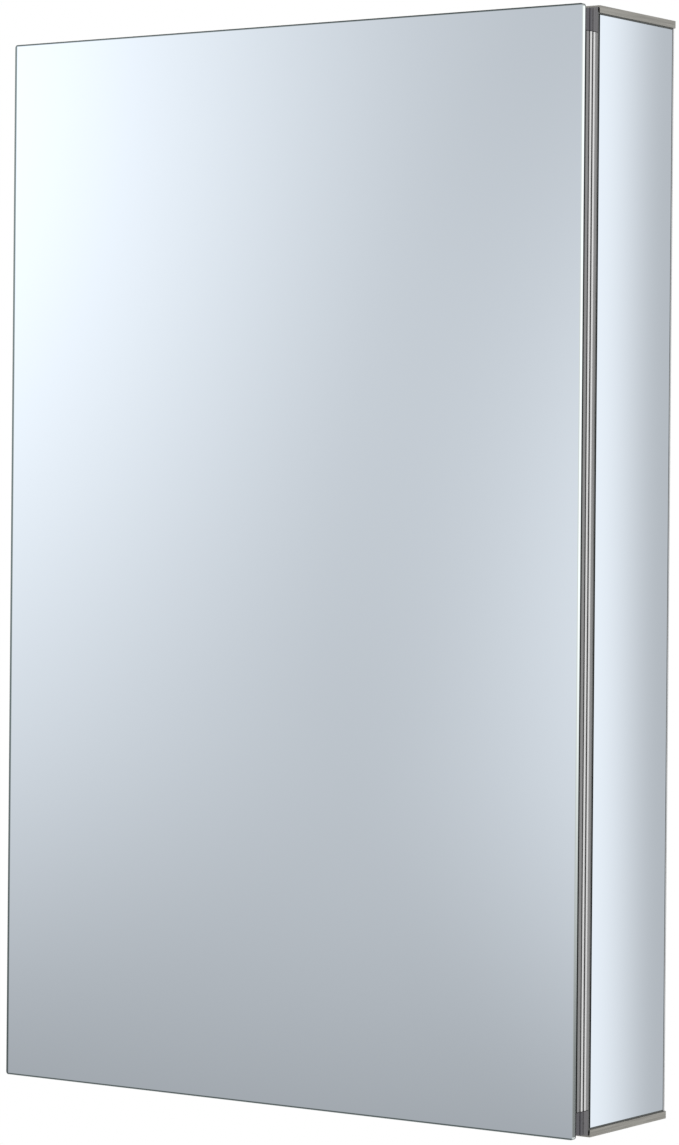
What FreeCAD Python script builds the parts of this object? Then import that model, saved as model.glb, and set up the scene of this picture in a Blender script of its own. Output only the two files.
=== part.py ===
"""Mirrored medicine cabinet: aluminium box on the wall, one mirrored door on corner pivots.

Frame: +Z up, the door faces -Y, the wall is the plane y = 0. The origin is the middle of the back.
The cabinet is the same above and below z = 0, so each end piece is made once and mirrored.
All sizes are in millimetres.
"""
import FreeCAD, Part
import math
import os

from FreeCAD import Vector

# Overall sizes
DOOR_WIDTH = 490.0
CABINET_HEIGHT = 763.5
CABINET_DEPTH = 126.0

# Mirrors
FRONT_MIRROR = 4.0
SIDE_MIRROR = 3.0
INNER_MIRROR = 3.0
BACK_MIRROR = 3.0
GLASS_ARRIS = 0.5
GLASS_CORNER_R = 2.0
GLASS_FIT = 0.3
CORE_STRIPS = 5
CORE_STRIP_WIDTH = 30.0

# Door frame: one ribbed, hollow section for the stiles and the rails
DOOR_END_INSET = 0.75
DOOR_GAP = 1.5
FRAME_SIDE_INSET = 0.2
FRAME_END_INSET = 0.6
FRAME_DEPTH = 16.8
FRAME_WIDTH = 17.0
FRAME_LIP = 5.0
FRAME_LIP_DEPTH = 3.5
SEAM_WIDTH = 1.2
FRONT_LAND = 4.2
GROOVE_WIDTH = 1.3
GROOVE_DEPTH = 0.7
RIB_WIDTH = 3.0
RIB_HEIGHT = 0.4
FRAME_WALL = 2.2

# Corner caps of the door frame, as long as the frame is wide
CAP_JOINT = 0.4
CAP_END_SLOPE = 2.5
SPIGOT_LENGTH = 18.0
SPIGOT_FIT = 0.15
CAP_SCREW_R = 1.4
CAP_SCREW_HEAD_R = 2.8
CAP_SCREW_LENGTH = 8.0
CAP_SCREW_OFFSET = 9.0

# Pivot of the door
PIVOT_EDGE = 5.6
PIVOT_SETBACK = 11.5
PIN_R = 2.0
PIN_FIT = 0.05
PIN_END_GAP = 1.0
PIN_HEAD_R = 3.0
PIN_HEAD = 1.2
BUSH_WALL = 1.2
BUSH_FLANGE_R = 3.7
BUSH_FLANGE = 0.8
BUSH_BOTTOM = 1.0
CAP_FLOOR = 1.0
TONGUE_NOSE_R = 3.2
TONGUE_THICKNESS = 2.0
TONGUE_ROOT = 8.0
TONGUE_CLEARANCE = 0.4
HINGE_PLATE_WIDTH = 30.0
HINGE_PLATE_LENGTH = 42.0

# Box panels
SHEET = 1.8
FLANGE = 12.0
WALL_FLANGE = 1.6
WALL_FLANGE_INSET = 0.4
WALL_FLANGE_SETBACK = 1.0
BACK_SPACE = 10.0
BACK_SHEET = 1.2
PANEL_FIT = 0.1

# Trim trays over the ends of the box
TRIM_TOP = 1.2
TRIM_SKIRT = 0.7
TRIM_HEIGHT = 5.0
TRIM_FIT = 0.1
TRIM_CORNER_R = 1.5

# Black bead round the edges of each side mirror
BEAD_WIDTH = 0.8
BEAD_INSET = 0.5
BEAD_TUCK = 1.0

# Wall rails and their screw holes
RAIL_INSET = 36.75
RAIL_HEIGHT = 36.0
RAIL_WALL = 2.0
RAIL_LIP = 7.0
RAIL_END_GAP = 3.0
WALL_HOLE_SPACING = 406.4
WALL_HOLE_R = 3.0
DRIVER_HOLE_R = 7.0
RIVET_R = 1.6
RIVET_HEAD_R = 3.2
RIVET_HEAD = 0.8
RIVET_SPACING = 290.0
MIRROR_RAIL_GAP = 5.0

# Shelves, their pins and the pin holes
SHELF_THICKNESS = 5.0
SHELF_SIDE_GAP = 2.0
SHELF_BACK_GAP = 1.5
SHELF_FRONT_GAP = 4.0
PIN_HOLE_PITCH = 32.0
PIN_HOLE_R = 2.5
PIN_HOLES_PER_ROW = 19
PIN_ROW_INSET = 16.0
SHELF_SPREAD = 6
PEG_FIT = 0.05
PEG_COLLAR_R = 4.0
PEG_COLLAR = 1.5
PEG_TAB_LENGTH = 9.0
PEG_TAB_WIDTH = 8.0
PEG_TAB_THICKNESS = 3.0

# Corner brackets and screws of the box
BRACKET_LEG = 25.0
BRACKET_WIDTH = 30.0
BRACKET_THICKNESS = 2.0
BRACKET_FROM_BACK = 14.0
SCREW_R = 1.6
SCREW_HEAD_R = 3.2
SCREW_HEAD = 1.8
SCREW_SPACING = 16.0

# Magnetic catches and the seal strips between door and box
CATCH_HEIGHT = 24.0
CATCH_WIDTH = 11.0
CATCH_DEPTH = 11.0
CATCH_SPREAD = 300.0
MAGNET_R = 4.0
MAGNET_LENGTH = 7.0
MAGNET_FIT = 0.2
STRIKE_R = 6.0
STRIKE_THICKNESS = 0.6
SEAL_WIDTH = 3.0
SEAL_THICKNESS = 1.1
SEAL_END_GAP = 12.5
SEAL_PIVOT_GAP = 8.0

# Planes worked out from the sizes above
HALF_W = DOOR_WIDTH / 2
HALF_H = CABINET_HEIGHT / 2
GLASS_FRONT = -CABINET_DEPTH
FRAME_FRONT = GLASS_FRONT + FRONT_MIRROR
FRAME_REAR = FRAME_FRONT + FRAME_DEPTH
BOX_FRONT = FRAME_REAR + DOOR_GAP
DOOR_HALF_H = HALF_H - DOOR_END_INSET
FRAME_HALF_W = HALF_W - FRAME_SIDE_INSET
FRAME_HALF_H = DOOR_HALF_H - FRAME_END_INSET
MIRROR_OUT_X = HALF_W - TRIM_SKIRT - TRIM_FIT
WEB_OUT_X = MIRROR_OUT_X - SIDE_MIRROR
WEB_IN_X = WEB_OUT_X - SHEET
PANEL_TOP = HALF_H - TRIM_TOP
PANEL_UNDER = PANEL_TOP - SHEET
LIP_REAR = BOX_FRONT + SHEET
BACK_REAR = -BACK_SPACE
BACK_FRONT = BACK_REAR - BACK_SHEET
BACK_MIRROR_FRONT = BACK_FRONT - BACK_MIRROR
RAIL_Z = HALF_H - RAIL_INSET
PIVOT_X = -HALF_W + PIVOT_EDGE
PIVOT_Y = FRAME_REAR - PIVOT_SETBACK
TONGUE_UNDER = PANEL_UNDER - TONGUE_THICKNESS
RECESS_FLOOR = TONGUE_UNDER - TONGUE_CLEARANCE - BUSH_FLANGE
POCKET_WIDTH = FRAME_WIDTH - FRAME_LIP
LIP_FRONT = FRAME_DEPTH - FRAME_LIP_DEPTH
CAP_LENGTH = FRAME_WIDTH
MAGNET_X = WEB_IN_X - CATCH_WIDTH / 2


def box(low, high):
    """Box between two corners."""
    size = Vector(*high) - Vector(*low)
    return Part.makeBox(size.x, size.y, size.z, Vector(*low))


def rod(centre, direction, radius, length):
    """Cylinder that starts at a point and runs along a direction."""
    return Part.makeCylinder(radius, length, Vector(*centre), Vector(*direction))


def prism(points, direction):
    """Solid swept from a flat outline along a straight direction."""
    corners = [Vector(*point) for point in points]
    wire = Part.makePolygon(corners + corners[:1])
    return Part.Face(wire).extrude(Vector(*direction))


def mirrored(shape, axis):
    """The same piece on the other side of the cabinet's middle plane."""
    normal = {"x": Vector(1, 0, 0), "z": Vector(0, 0, 1)}[axis]
    return shape.mirror(Vector(0, 0, 0), normal)


def vertical_edges(shape, near):
    """Edges of a shape that run along Z through any of the given (x, y) points."""
    found = []
    for edge in shape.Edges:
        first = edge.Vertexes[0].Point
        last = edge.Vertexes[-1].Point
        upright = abs(first.x - last.x) < 1e-6 and abs(first.y - last.y) < 1e-6
        if upright and any(math.hypot(first.x - x, first.y - y) < 1e-3 for x, y in near):
            found.append(edge)
    return found


def mirror_plate(low, high):
    """Glass plate with its edges taken off by a small arris."""
    plate = box(low, high)
    return plate.makeChamfer(GLASS_ARRIS, plate.Edges)


# ---------------------------------------------------------------- box panels

def side_panel():
    """Right side panel: web, front lip, rear return for the back, outer flange at the wall."""
    web_rear = -WALL_FLANGE_SETBACK
    web = box((WEB_IN_X, BOX_FRONT, -PANEL_TOP), (WEB_OUT_X, web_rear, PANEL_TOP))
    lip_half = PANEL_UNDER - FLANGE - PANEL_FIT
    lip = box((WEB_IN_X - FLANGE, BOX_FRONT, -lip_half), (WEB_IN_X, LIP_REAR, lip_half))
    back_return = box((WEB_IN_X - FLANGE, BACK_REAR, -lip_half), (WEB_IN_X, BACK_REAR + SHEET, lip_half))
    flange_half = HALF_H - TRIM_HEIGHT - TRIM_FIT
    flange = box((WEB_OUT_X, web_rear - WALL_FLANGE, -flange_half),
                 (MIRROR_OUT_X - WALL_FLANGE_INSET, web_rear, flange_half))
    panel = web.fuse([lip, back_return, flange]).removeSplitter()
    holes = [rod((WEB_IN_X - SHEET, y, z), (1, 0, 0), PIN_HOLE_R, 3 * SHEET)
             for y in pin_rows() for z in pin_heights()]
    holes += [rod((WEB_IN_X - SHEET, y, side * z), (1, 0, 0), SCREW_R, 3 * SHEET)
              for y, z in bracket_side_screws() for side in (-1, 1)]
    return panel.cut(holes)


def pin_rows():
    """The two depths at which the shelf pins stand."""
    return (LIP_REAR + PIN_ROW_INSET, BACK_MIRROR_FRONT - PIN_ROW_INSET)


def pin_heights():
    """Heights of the pin holes, evenly spaced about the middle."""
    half = (PIN_HOLES_PER_ROW - 1) // 2
    return [step * PIN_HOLE_PITCH for step in range(-half, half + 1)]


def catch_side_panel():
    """Right side panel with the holes for the catches."""
    holes = []
    for side in (-1, 1):
        z = side * CATCH_SPREAD
        holes.append(rod((MAGNET_X, BOX_FRONT - SHEET, z), (0, 1, 0), MAGNET_R + MAGNET_FIT, 3 * SHEET))
        holes.append(rod((WEB_IN_X - SHEET, catch_screw_y(), z), (1, 0, 0), SCREW_R, 3 * SHEET))
    return side_panel().cut(holes)


def end_panel():
    """Top panel: plate with a front and a rear flange, and a slot where the hinge tongue leaves."""
    half = WEB_IN_X - PANEL_FIT
    plate = box((-half, BOX_FRONT, PANEL_UNDER), (half, -WALL_FLANGE_SETBACK, PANEL_TOP))
    low = PANEL_UNDER - FLANGE
    front = box((-half, BOX_FRONT, low), (half, LIP_REAR, PANEL_UNDER))
    rear = box((-half, BACK_REAR, low), (half, BACK_REAR + SHEET, PANEL_UNDER))
    panel = plate.fuse([front, rear]).removeSplitter()
    slot_right = -WEB_IN_X + PANEL_FIT + HINGE_PLATE_WIDTH + 2 * TONGUE_CLEARANCE
    slot = box((-WEB_IN_X, BOX_FRONT - SHEET, TONGUE_UNDER - TONGUE_CLEARANCE),
               (slot_right, LIP_REAR + SHEET, PANEL_UNDER))
    holes = [rod((side * x, y, PANEL_UNDER - SHEET), (0, 0, 1), SCREW_R, 3 * SHEET)
             for x, y in bracket_end_screws() for side in (-1, 1)]
    holes += [rod((x, y, PANEL_UNDER - SHEET), (0, 0, 1), SCREW_R, 3 * SHEET)
              for x, y in hinge_plate_screws()]
    return panel.cut([slot] + holes)


def back_panel():
    """Back sheet with driver holes in line with the wall screws."""
    half_x = WEB_IN_X - GLASS_FIT
    half_z = PANEL_UNDER - GLASS_FIT
    sheet = box((-half_x, BACK_FRONT, -half_z), (half_x, BACK_REAR, half_z))
    holes = [rod((x, BACK_FRONT - SHEET, z), (0, 1, 0), DRIVER_HOLE_R, 3 * SHEET)
             for x, z in wall_holes()]
    holes += [rod((x, BACK_FRONT - SHEET, z), (0, 1, 0), RIVET_R, 3 * SHEET)
              for x, z in rivet_places()]
    return sheet.cut(holes)


def wall_holes():
    """Centres (x, z) of the four wall screws."""
    return [(x * WALL_HOLE_SPACING / 2, z * RAIL_Z) for x in (-1, 1) for z in (-1, 1)]


def rivet_places():
    """Centres (x, z) of the rivets that hold the rails' lips to the back sheet."""
    offset = RAIL_HEIGHT / 2 - RAIL_WALL - RAIL_LIP / 2
    return [(x * RIVET_SPACING / 2, z * RAIL_Z + lip * offset)
            for x in (-1, 1) for z in (-1, 1) for lip in (-1, 1)]


def wall_rail():
    """Upper wall rail: C section that lies against the wall, lips against the back sheet."""
    half = WEB_IN_X - FLANGE - RAIL_END_GAP
    low = RAIL_Z - RAIL_HEIGHT / 2
    high = RAIL_Z + RAIL_HEIGHT / 2
    outer = box((-half, BACK_REAR, low), (half, 0, high))
    hollow = box((-half, BACK_REAR + RAIL_WALL, low + RAIL_WALL), (half, -RAIL_WALL, high - RAIL_WALL))
    lip = RAIL_WALL + RAIL_LIP
    mouth = box((-half, BACK_REAR, low + lip), (half, BACK_REAR + RAIL_WALL, high - lip))
    holes = [rod((x, -3 * RAIL_WALL, z), (0, 1, 0), WALL_HOLE_R, 4 * RAIL_WALL)
             for x, z in wall_holes() if z > 0]
    holes += [rod((x, BACK_REAR - SHEET, z), (0, 1, 0), RIVET_R, 3 * SHEET)
              for x, z in rivet_places() if z > 0]
    return outer.cut([hollow, mouth] + holes)


def rail_rivets():
    """Rivets through the back sheet and the lips of both rails."""
    rivets = []
    for x, z in rivet_places():
        head = rod((x, BACK_FRONT - RIVET_HEAD, z), (0, 1, 0), RIVET_HEAD_R, RIVET_HEAD)
        shank = rod((x, BACK_FRONT, z), (0, 1, 0), RIVET_R, BACK_SHEET + RAIL_WALL)
        tail = rod((x, BACK_REAR + RAIL_WALL, z), (0, 1, 0), RIVET_R * 1.5, RIVET_HEAD)
        rivets.append(head.fuse([shank, tail]).removeSplitter())
    return rivets


def trim_tray():
    """Top trim: a thin tray over the end of the box, round at the two corners by the wall."""
    low = HALF_H - TRIM_HEIGHT
    outer = box((-HALF_W, BOX_FRONT, low), (HALF_W, 0, HALF_H))
    outer = outer.makeFillet(TRIM_CORNER_R, vertical_edges(outer, [(-HALF_W, 0), (HALF_W, 0)]))
    in_x = HALF_W - TRIM_SKIRT
    inner = box((-in_x, BOX_FRONT - TRIM_SKIRT, low - TRIM_TOP), (in_x, -TRIM_SKIRT, PANEL_TOP))
    corners = [(-in_x, -TRIM_SKIRT), (in_x, -TRIM_SKIRT)]
    inner = inner.makeFillet(TRIM_CORNER_R - TRIM_SKIRT, vertical_edges(inner, corners))
    return outer.cut(inner)


def side_mirror_bounds():
    """Corners of the mirror on the outside of the right side panel."""
    half = HALF_H - TRIM_HEIGHT - BEAD_WIDTH
    rear = -WALL_FLANGE_SETBACK - WALL_FLANGE - BEAD_WIDTH
    return (WEB_OUT_X, BOX_FRONT + BEAD_WIDTH, -half), (MIRROR_OUT_X, rear, half)


def side_mirror():
    """Mirror on the outside of the right side panel, between the two trims."""
    return mirror_plate(*side_mirror_bounds())


def mirror_bead():
    """Bead round the right side mirror, from the front edge to the wall flange, behind the trims' skirts."""
    low, high = side_mirror_bounds()
    end = HALF_H - TRIM_HEIGHT + BEAD_TUCK
    outer = box((low[0], BOX_FRONT, -end), (MIRROR_OUT_X - BEAD_INSET, high[1] + BEAD_WIDTH, end))
    return outer.cut(box(low, high))


def back_mirror():
    """Mirror on the inside of the back, between the two rows of wall screws."""
    half_x = WEB_IN_X - GLASS_FIT
    half_z = RAIL_Z - RAIL_HEIGHT / 2 - MIRROR_RAIL_GAP
    return mirror_plate((-half_x, BACK_MIRROR_FRONT, -half_z), (half_x, BACK_FRONT, half_z))


# ---------------------------------------------------------------- corner brackets and screws

def bracket_middle_y():
    """Depth of the middle of the corner brackets."""
    return BACK_MIRROR_FRONT - BRACKET_FROM_BACK - BRACKET_WIDTH / 2


def bracket_side_screws():
    """(y, z) of the screws through the upper corner bracket and the side panel."""
    z = PANEL_UNDER - BRACKET_THICKNESS - (BRACKET_LEG - BRACKET_THICKNESS) / 2
    return [(bracket_middle_y() + step * SCREW_SPACING / 2, z) for step in (-1, 1)]


def bracket_end_screws():
    """(x, y) of the screws through the right corner bracket and the top panel."""
    x = WEB_IN_X - BRACKET_THICKNESS - (BRACKET_LEG - BRACKET_THICKNESS) / 2
    return [(x, bracket_middle_y() + step * SCREW_SPACING / 2) for step in (-1, 1)]


def corner_bracket():
    """Upper right angle bracket between the side panel and the top panel."""
    y0 = bracket_middle_y() - BRACKET_WIDTH / 2
    outline = [
        (WEB_IN_X, y0, PANEL_UNDER),
        (WEB_IN_X - BRACKET_LEG, y0, PANEL_UNDER),
        (WEB_IN_X - BRACKET_LEG, y0, PANEL_UNDER - BRACKET_THICKNESS),
        (WEB_IN_X - BRACKET_THICKNESS, y0, PANEL_UNDER - BRACKET_THICKNESS),
        (WEB_IN_X - BRACKET_THICKNESS, y0, PANEL_UNDER - BRACKET_LEG),
        (WEB_IN_X, y0, PANEL_UNDER - BRACKET_LEG),
    ]
    angle = prism(outline, (0, BRACKET_WIDTH, 0))
    holes = [rod((WEB_IN_X - 2 * BRACKET_THICKNESS, y, z), (1, 0, 0), SCREW_R, 3 * BRACKET_THICKNESS)
             for y, z in bracket_side_screws()]
    holes += [rod((x, y, PANEL_UNDER - 2 * BRACKET_THICKNESS), (0, 0, 1), SCREW_R, 3 * BRACKET_THICKNESS)
              for x, y in bracket_end_screws()]
    return angle.cut(holes)


def panel_screw(seat, direction, grip):
    """Pan-head screw: seat is the middle of the face under its head."""
    back = [-part for part in direction]
    head = rod(seat, back, SCREW_HEAD_R, SCREW_HEAD)
    return head.fuse(rod(seat, direction, SCREW_R, grip)).removeSplitter()


def bracket_screws():
    """All the screws of the four corner brackets."""
    grip = BRACKET_THICKNESS + SHEET
    corner = [panel_screw((WEB_IN_X - BRACKET_THICKNESS, y, z), (1, 0, 0), grip)
              for y, z in bracket_side_screws()]
    corner += [panel_screw((x, y, PANEL_UNDER - BRACKET_THICKNESS), (0, 0, 1), grip)
               for x, y in bracket_end_screws()]
    upper = corner + [mirrored(screw, "x") for screw in corner]
    return upper + [mirrored(screw, "z") for screw in upper]


# ---------------------------------------------------------------- shelves

def shelf_heights():
    """Pin heights of the three shelves, from the top."""
    return [step * SHELF_SPREAD * PIN_HOLE_PITCH for step in (1, 0, -1)]


def glass_shelf(pin_z):
    """Glass shelf that lies on four pins."""
    half = WEB_IN_X - SHELF_SIDE_GAP
    bottom = pin_z + PEG_TAB_THICKNESS / 2
    low = (-half, LIP_REAR + SHELF_FRONT_GAP, bottom)
    high = (half, BACK_MIRROR_FRONT - SHELF_BACK_GAP, bottom + SHELF_THICKNESS)
    return mirror_plate(low, high)


def shelf_pins(pin_z):
    """The four pins of one shelf: peg in the hole, collar, and a flat tab under the glass."""
    pins = []
    for y in pin_rows():
        peg = rod((WEB_IN_X, y, pin_z), (1, 0, 0), PIN_HOLE_R - PEG_FIT, SHEET)
        collar = rod((WEB_IN_X - PEG_COLLAR, y, pin_z), (1, 0, 0), PEG_COLLAR_R, PEG_COLLAR)
        tab_x = WEB_IN_X - PEG_COLLAR - PEG_TAB_LENGTH
        tab = box((tab_x, y - PEG_TAB_WIDTH / 2, pin_z - PEG_TAB_THICKNESS / 2),
                  (WEB_IN_X - PEG_COLLAR, y + PEG_TAB_WIDTH / 2, pin_z + PEG_TAB_THICKNESS / 2))
        pin = peg.fuse([collar, tab]).removeSplitter()
        pins += [pin, mirrored(pin, "x")]
    return pins


# ---------------------------------------------------------------- door frame

def section_edges(solid_inside):
    """Outline of the frame section: X inwards from the outer side, Y from the front to the rear.

    The outer side has a seam under the glass, a flat land, a groove, two round ribs with a groove
    between them, and a rear land. solid_inside leaves out the pocket for the door's inner mirror.
    """
    land = RIB_HEIGHT
    groove = land + GROOVE_DEPTH
    first_groove = SEAM_WIDTH + FRONT_LAND
    first_rib = first_groove + GROOVE_WIDTH
    second_groove = first_rib + RIB_WIDTH
    second_rib = second_groove + GROOVE_WIDTH
    rear_land = second_rib + RIB_WIDTH

    def line(*points):
        return [Part.LineSegment(Vector(*a, 0), Vector(*b, 0)).toShape()
                for a, b in zip(points, points[1:])]

    def rib(start):
        arc = Part.Arc(Vector(land, start, 0), Vector(0, start + RIB_WIDTH / 2, 0),
                       Vector(land, start + RIB_WIDTH, 0))
        return [arc.toShape()]

    edges = line((groove, 0), (groove, SEAM_WIDTH), (land, SEAM_WIDTH), (land, first_groove),
                 (groove, first_groove), (groove, first_rib), (land, first_rib))
    edges += rib(first_rib)
    edges += line((land, second_groove), (groove, second_groove), (groove, second_rib), (land, second_rib))
    edges += rib(second_rib)
    edges += line((land, rear_land), (land, FRAME_DEPTH), (FRAME_WIDTH, FRAME_DEPTH))
    if solid_inside:
        return edges + line((FRAME_WIDTH, FRAME_DEPTH), (FRAME_WIDTH, 0), (groove, 0))
    return edges + line((FRAME_WIDTH, FRAME_DEPTH), (FRAME_WIDTH, LIP_FRONT), (POCKET_WIDTH, LIP_FRONT),
                        (POCKET_WIDTH, 0), (groove, 0))


def cavity(fit, start, length):
    """Hollow of the frame section, or a spigot that fits it, along local Z."""
    outer_wall = RIB_HEIGHT + FRAME_WALL
    low = (outer_wall + fit, FRAME_WALL + fit, start)
    high = (POCKET_WIDTH - FRAME_WALL - fit, FRAME_DEPTH - FRAME_WALL - fit, start + length)
    return box(low, high)


def frame_length(length):
    """Length of hollow frame section along local Z, starting past a corner cap."""
    face = Part.Face(Part.Wire(section_edges(False)))
    bar = face.extrude(Vector(0, 0, length))
    bar.translate(Vector(0, 0, CAP_LENGTH + CAP_JOINT))
    bar = bar.cut(cavity(0, 0, length + 2 * CAP_LENGTH))
    far = length + 2 * (CAP_LENGTH + CAP_JOINT)
    return bar.cut([cap_screw(CAP_LENGTH + CAP_SCREW_OFFSET), cap_screw(far - CAP_LENGTH - CAP_SCREW_OFFSET)])


def cap_screw(along):
    """Countersunk screw through the rear wall of the section into a spigot, at a place on local Z."""
    x = (RIB_HEIGHT + POCKET_WIDTH) / 2
    cone = Part.makeCone(CAP_SCREW_R, CAP_SCREW_HEAD_R, CAP_SCREW_HEAD_R - CAP_SCREW_R,
                         Vector(x, FRAME_DEPTH - CAP_SCREW_HEAD_R + CAP_SCREW_R, along), Vector(0, 1, 0))
    shank = rod((x, FRAME_DEPTH - CAP_SCREW_LENGTH, along), (0, 1, 0), CAP_SCREW_R,
                CAP_SCREW_LENGTH - CAP_SCREW_HEAD_R + CAP_SCREW_R)
    return cone.fuse(shank).removeSplitter()


def as_rail(shape):
    """Turns a piece made along local Z into the same piece along the door's lower edge."""
    turned = shape.copy()
    turned.rotate(Vector(0, 0, 0), Vector(0, 1, 0), -90)
    return turned.mirror(Vector(0, 0, 0), Vector(1, 0, 0))


def on_door(shape):
    """Moves a piece from local coordinates to the door's lower left corner."""
    placed = shape.copy()
    placed.translate(Vector(-FRAME_HALF_W, FRAME_FRONT, -FRAME_HALF_H))
    return placed


def stile_left():
    """Ribbed stile between the two left corner caps."""
    return on_door(frame_length(2 * (FRAME_HALF_H - CAP_LENGTH - CAP_JOINT)))


def rail_bottom():
    """Ribbed rail between the two lower corner caps."""
    return on_door(as_rail(frame_length(2 * (FRAME_HALF_W - CAP_LENGTH - CAP_JOINT))))


def corner_cap_local():
    """Lower left corner cap: ribbed on its side, end face sloping back, one spigot each way."""
    profile = Part.Face(Part.Wire(section_edges(True)))
    body = profile.extrude(Vector(0, 0, CAP_LENGTH))
    end_cut = prism([(0, 0, 0), (0, 0, CAP_END_SLOPE), (0, FRAME_DEPTH, 0)], (FRAME_WIDTH, 0, 0))
    pocket = box((POCKET_WIDTH, 0, POCKET_WIDTH), (FRAME_WIDTH, LIP_FRONT, CAP_LENGTH))
    spigot = cavity(SPIGOT_FIT, CAP_LENGTH, SPIGOT_LENGTH)
    body = body.cut([end_cut, pocket]).fuse([spigot, as_rail(spigot)]).removeSplitter()
    screw = cap_screw(CAP_LENGTH + CAP_SCREW_OFFSET)
    return body.cut([screw, as_rail(screw)])


def free_corner_cap():
    """Lower left cap without a pivot, ready to be mirrored to the opening side."""
    return on_door(corner_cap_local())


def pivot_corner_cap():
    """Lower left cap with the recess for the hinge tongue and the hole for the pivot bush."""
    right = PIVOT_X + TONGUE_ROOT + TONGUE_CLEARANCE
    front = PIVOT_Y - max(TONGUE_NOSE_R, BUSH_FLANGE_R) - TONGUE_CLEARANCE
    recess = box((-HALF_W, front, -HALF_H), (right, BOX_FRONT, -RECESS_FLOOR))
    hole = rod((PIVOT_X, PIVOT_Y, -RECESS_FLOOR), (0, 0, 1), PIN_R + PIN_FIT + BUSH_WALL, bush_length())
    return on_door(corner_cap_local()).cut([recess, hole])


def cap_screws():
    """The eight countersunk screws that hold the corner caps in the frame."""
    local = cap_screw(CAP_LENGTH + CAP_SCREW_OFFSET)
    corner = [on_door(local), on_door(as_rail(local))]
    lower = corner + [mirrored(screw, "x") for screw in corner]
    return lower + [mirrored(screw, "z") for screw in lower]


# ---------------------------------------------------------------- door panels

def front_mirror():
    """Front mirror: covers the whole door, its four corners slightly round."""
    plate = box((-HALF_W, GLASS_FRONT, -DOOR_HALF_H), (HALF_W, FRAME_FRONT, DOOR_HALF_H))
    through = [edge for edge in plate.Edges
               if abs(edge.Vertexes[0].Point.y - edge.Vertexes[-1].Point.y) > FRONT_MIRROR / 2]
    plate = plate.makeFillet(GLASS_CORNER_R, through)
    rim = [edge for edge in plate.Edges
           if all(abs(vertex.Point.y - GLASS_FRONT) < 1e-6 for vertex in edge.Vertexes)]
    return plate.makeChamfer(GLASS_ARRIS, rim)


def pocket_half(outer_half):
    """Half size of what lies in the frame's pocket, from the frame's half size."""
    return outer_half - POCKET_WIDTH - GLASS_FIT


def core_strips():
    """Upright foam strips, evenly spaced, that hold the door's two mirrors apart."""
    x = pocket_half(FRAME_HALF_W)
    z = pocket_half(FRAME_HALF_H)
    pitch = (2 * x - CORE_STRIP_WIDTH) / (CORE_STRIPS - 1)
    return [box((-x + step * pitch, FRAME_FRONT, -z),
                (-x + step * pitch + CORE_STRIP_WIDTH, FRAME_FRONT + LIP_FRONT - INNER_MIRROR, z))
            for step in range(CORE_STRIPS)]


def inner_mirror():
    """Mirror on the inside of the door, its edges behind the frame's lips."""
    x = pocket_half(FRAME_HALF_W)
    z = pocket_half(FRAME_HALF_H)
    rear = FRAME_FRONT + LIP_FRONT
    return mirror_plate((-x, rear - INNER_MIRROR, -z), (x, rear, z))


# ---------------------------------------------------------------- pivots

def hinge_plate_screws():
    """(x, y) of the two screws through the hinge bracket and the top panel."""
    x = -WEB_IN_X + PANEL_FIT + HINGE_PLATE_WIDTH / 2
    middle = LIP_REAR + HINGE_PLATE_LENGTH / 2
    return [(x, middle + step * SCREW_SPACING / 2) for step in (-1, 1)]


def hinge_bracket():
    """Upper hinge bracket: plate under the top panel, tongue out to the door's pivot."""
    left = -WEB_IN_X + PANEL_FIT
    right = left + HINGE_PLATE_WIDTH
    rear = BOX_FRONT + HINGE_PLATE_LENGTH
    root_right = PIVOT_X + TONGUE_ROOT
    outline = [
        (PIVOT_X - TONGUE_NOSE_R, PIVOT_Y, TONGUE_UNDER),
        (left, BOX_FRONT, TONGUE_UNDER),
        (left, rear, TONGUE_UNDER),
        (right, rear, TONGUE_UNDER),
        (right, LIP_REAR, TONGUE_UNDER),
        (root_right, BOX_FRONT, TONGUE_UNDER),
        (PIVOT_X + TONGUE_NOSE_R, PIVOT_Y, TONGUE_UNDER),
    ]
    plate = prism(outline, (0, 0, TONGUE_THICKNESS))
    nose = rod((PIVOT_X, PIVOT_Y, TONGUE_UNDER), (0, 0, 1), TONGUE_NOSE_R, TONGUE_THICKNESS)
    holes = [rod((x, y, TONGUE_UNDER), (0, 0, 1), SCREW_R, TONGUE_THICKNESS) for x, y in hinge_plate_screws()]
    holes.append(rod((PIVOT_X, PIVOT_Y, TONGUE_UNDER), (0, 0, 1), PIN_R, TONGUE_THICKNESS))
    return plate.fuse(nose).removeSplitter().cut(holes)


def hinge_bracket_screws():
    """Screws of the upper and the lower hinge bracket."""
    upper = [panel_screw((x, y, TONGUE_UNDER), (0, 0, 1), TONGUE_THICKNESS + SHEET)
             for x, y in hinge_plate_screws()]
    return upper + [mirrored(screw, "z") for screw in upper]


def bush_length():
    """Depth of the bush in the corner cap, down to the floor that the cap keeps under it."""
    cap_inner_end = FRAME_HALF_H - CAP_LENGTH
    return RECESS_FLOOR - cap_inner_end - CAP_FLOOR


def pivot_pin():
    """Upper pivot pin, riveted in the tongue, hanging down into the door's bush."""
    head = rod((PIVOT_X, PIVOT_Y, PANEL_UNDER), (0, 0, 1), PIN_HEAD_R, PIN_HEAD)
    low = RECESS_FLOOR - bush_length() + BUSH_BOTTOM + PIN_END_GAP
    shank = rod((PIVOT_X, PIVOT_Y, low), (0, 0, 1), PIN_R, PANEL_UNDER - low)
    return head.fuse(shank).removeSplitter()


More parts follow.
